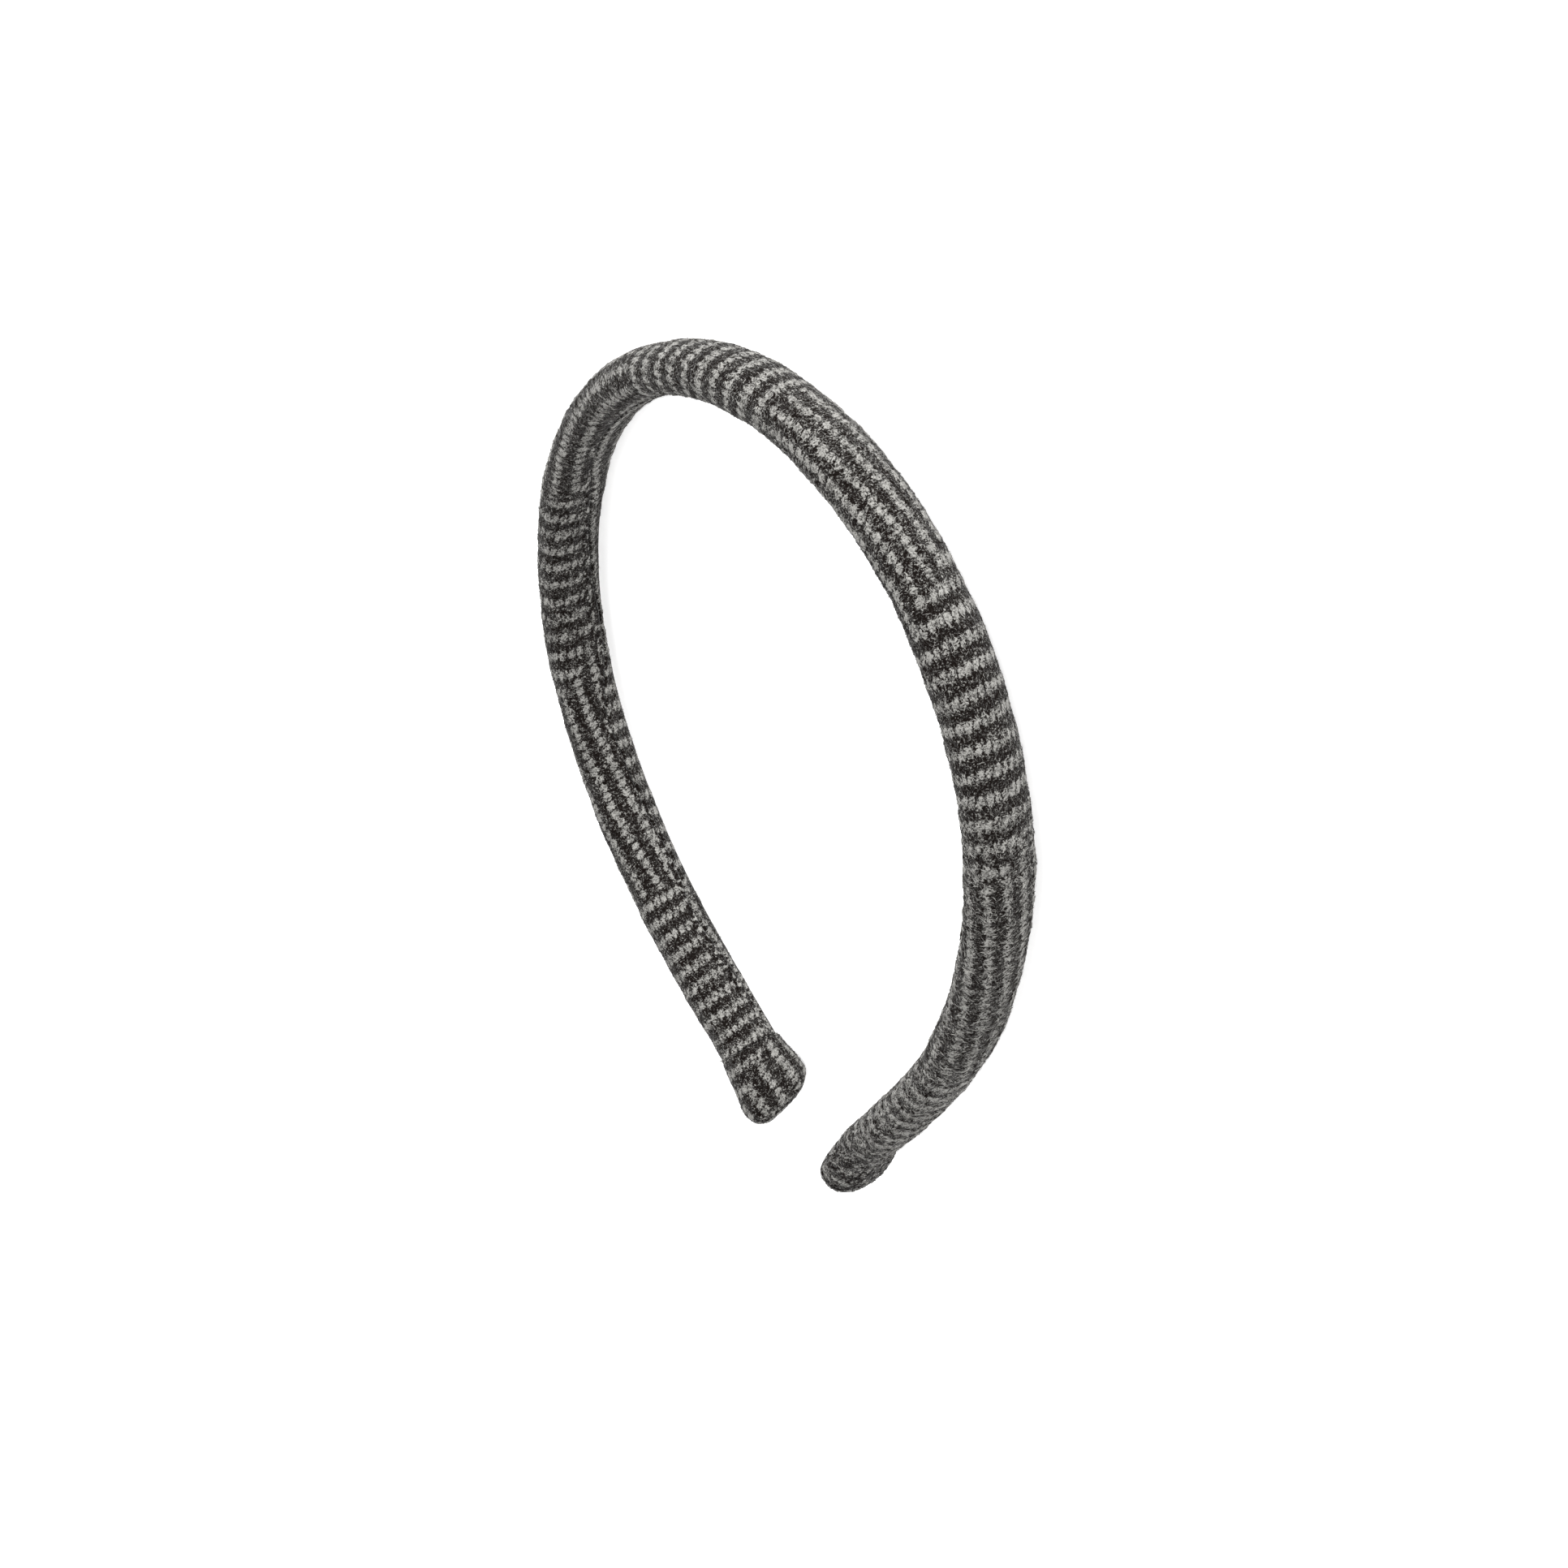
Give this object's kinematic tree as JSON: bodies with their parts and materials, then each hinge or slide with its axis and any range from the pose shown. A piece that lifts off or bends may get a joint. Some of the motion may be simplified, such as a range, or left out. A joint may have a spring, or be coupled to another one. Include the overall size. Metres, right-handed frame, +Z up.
{
  "type": "thin headband",
  "caption": "Narrow padded headband covered in brushed wool check: a springy hoop, open between its tips, with the cloth folded round each tip.",
  "frame": {"origin": "middle of the bounding box, on the surface that the band lies on", "axes": "+X across the head, +Y from the open tips to the crown, +Z up from the surface, across the band's width"},
  "size_m": [0.1192, 0.1468, 0.0138],
  "materials": {
    "check_cloth": "brushed wool, light and dark grey check"
  },
  "bodies": {
    "root": {"cover": "check_cloth", "seam_lap": "check_cloth", "end_fold_left": "check_cloth", "end_fold_right": "check_cloth"}
  },
  "joints": []
}
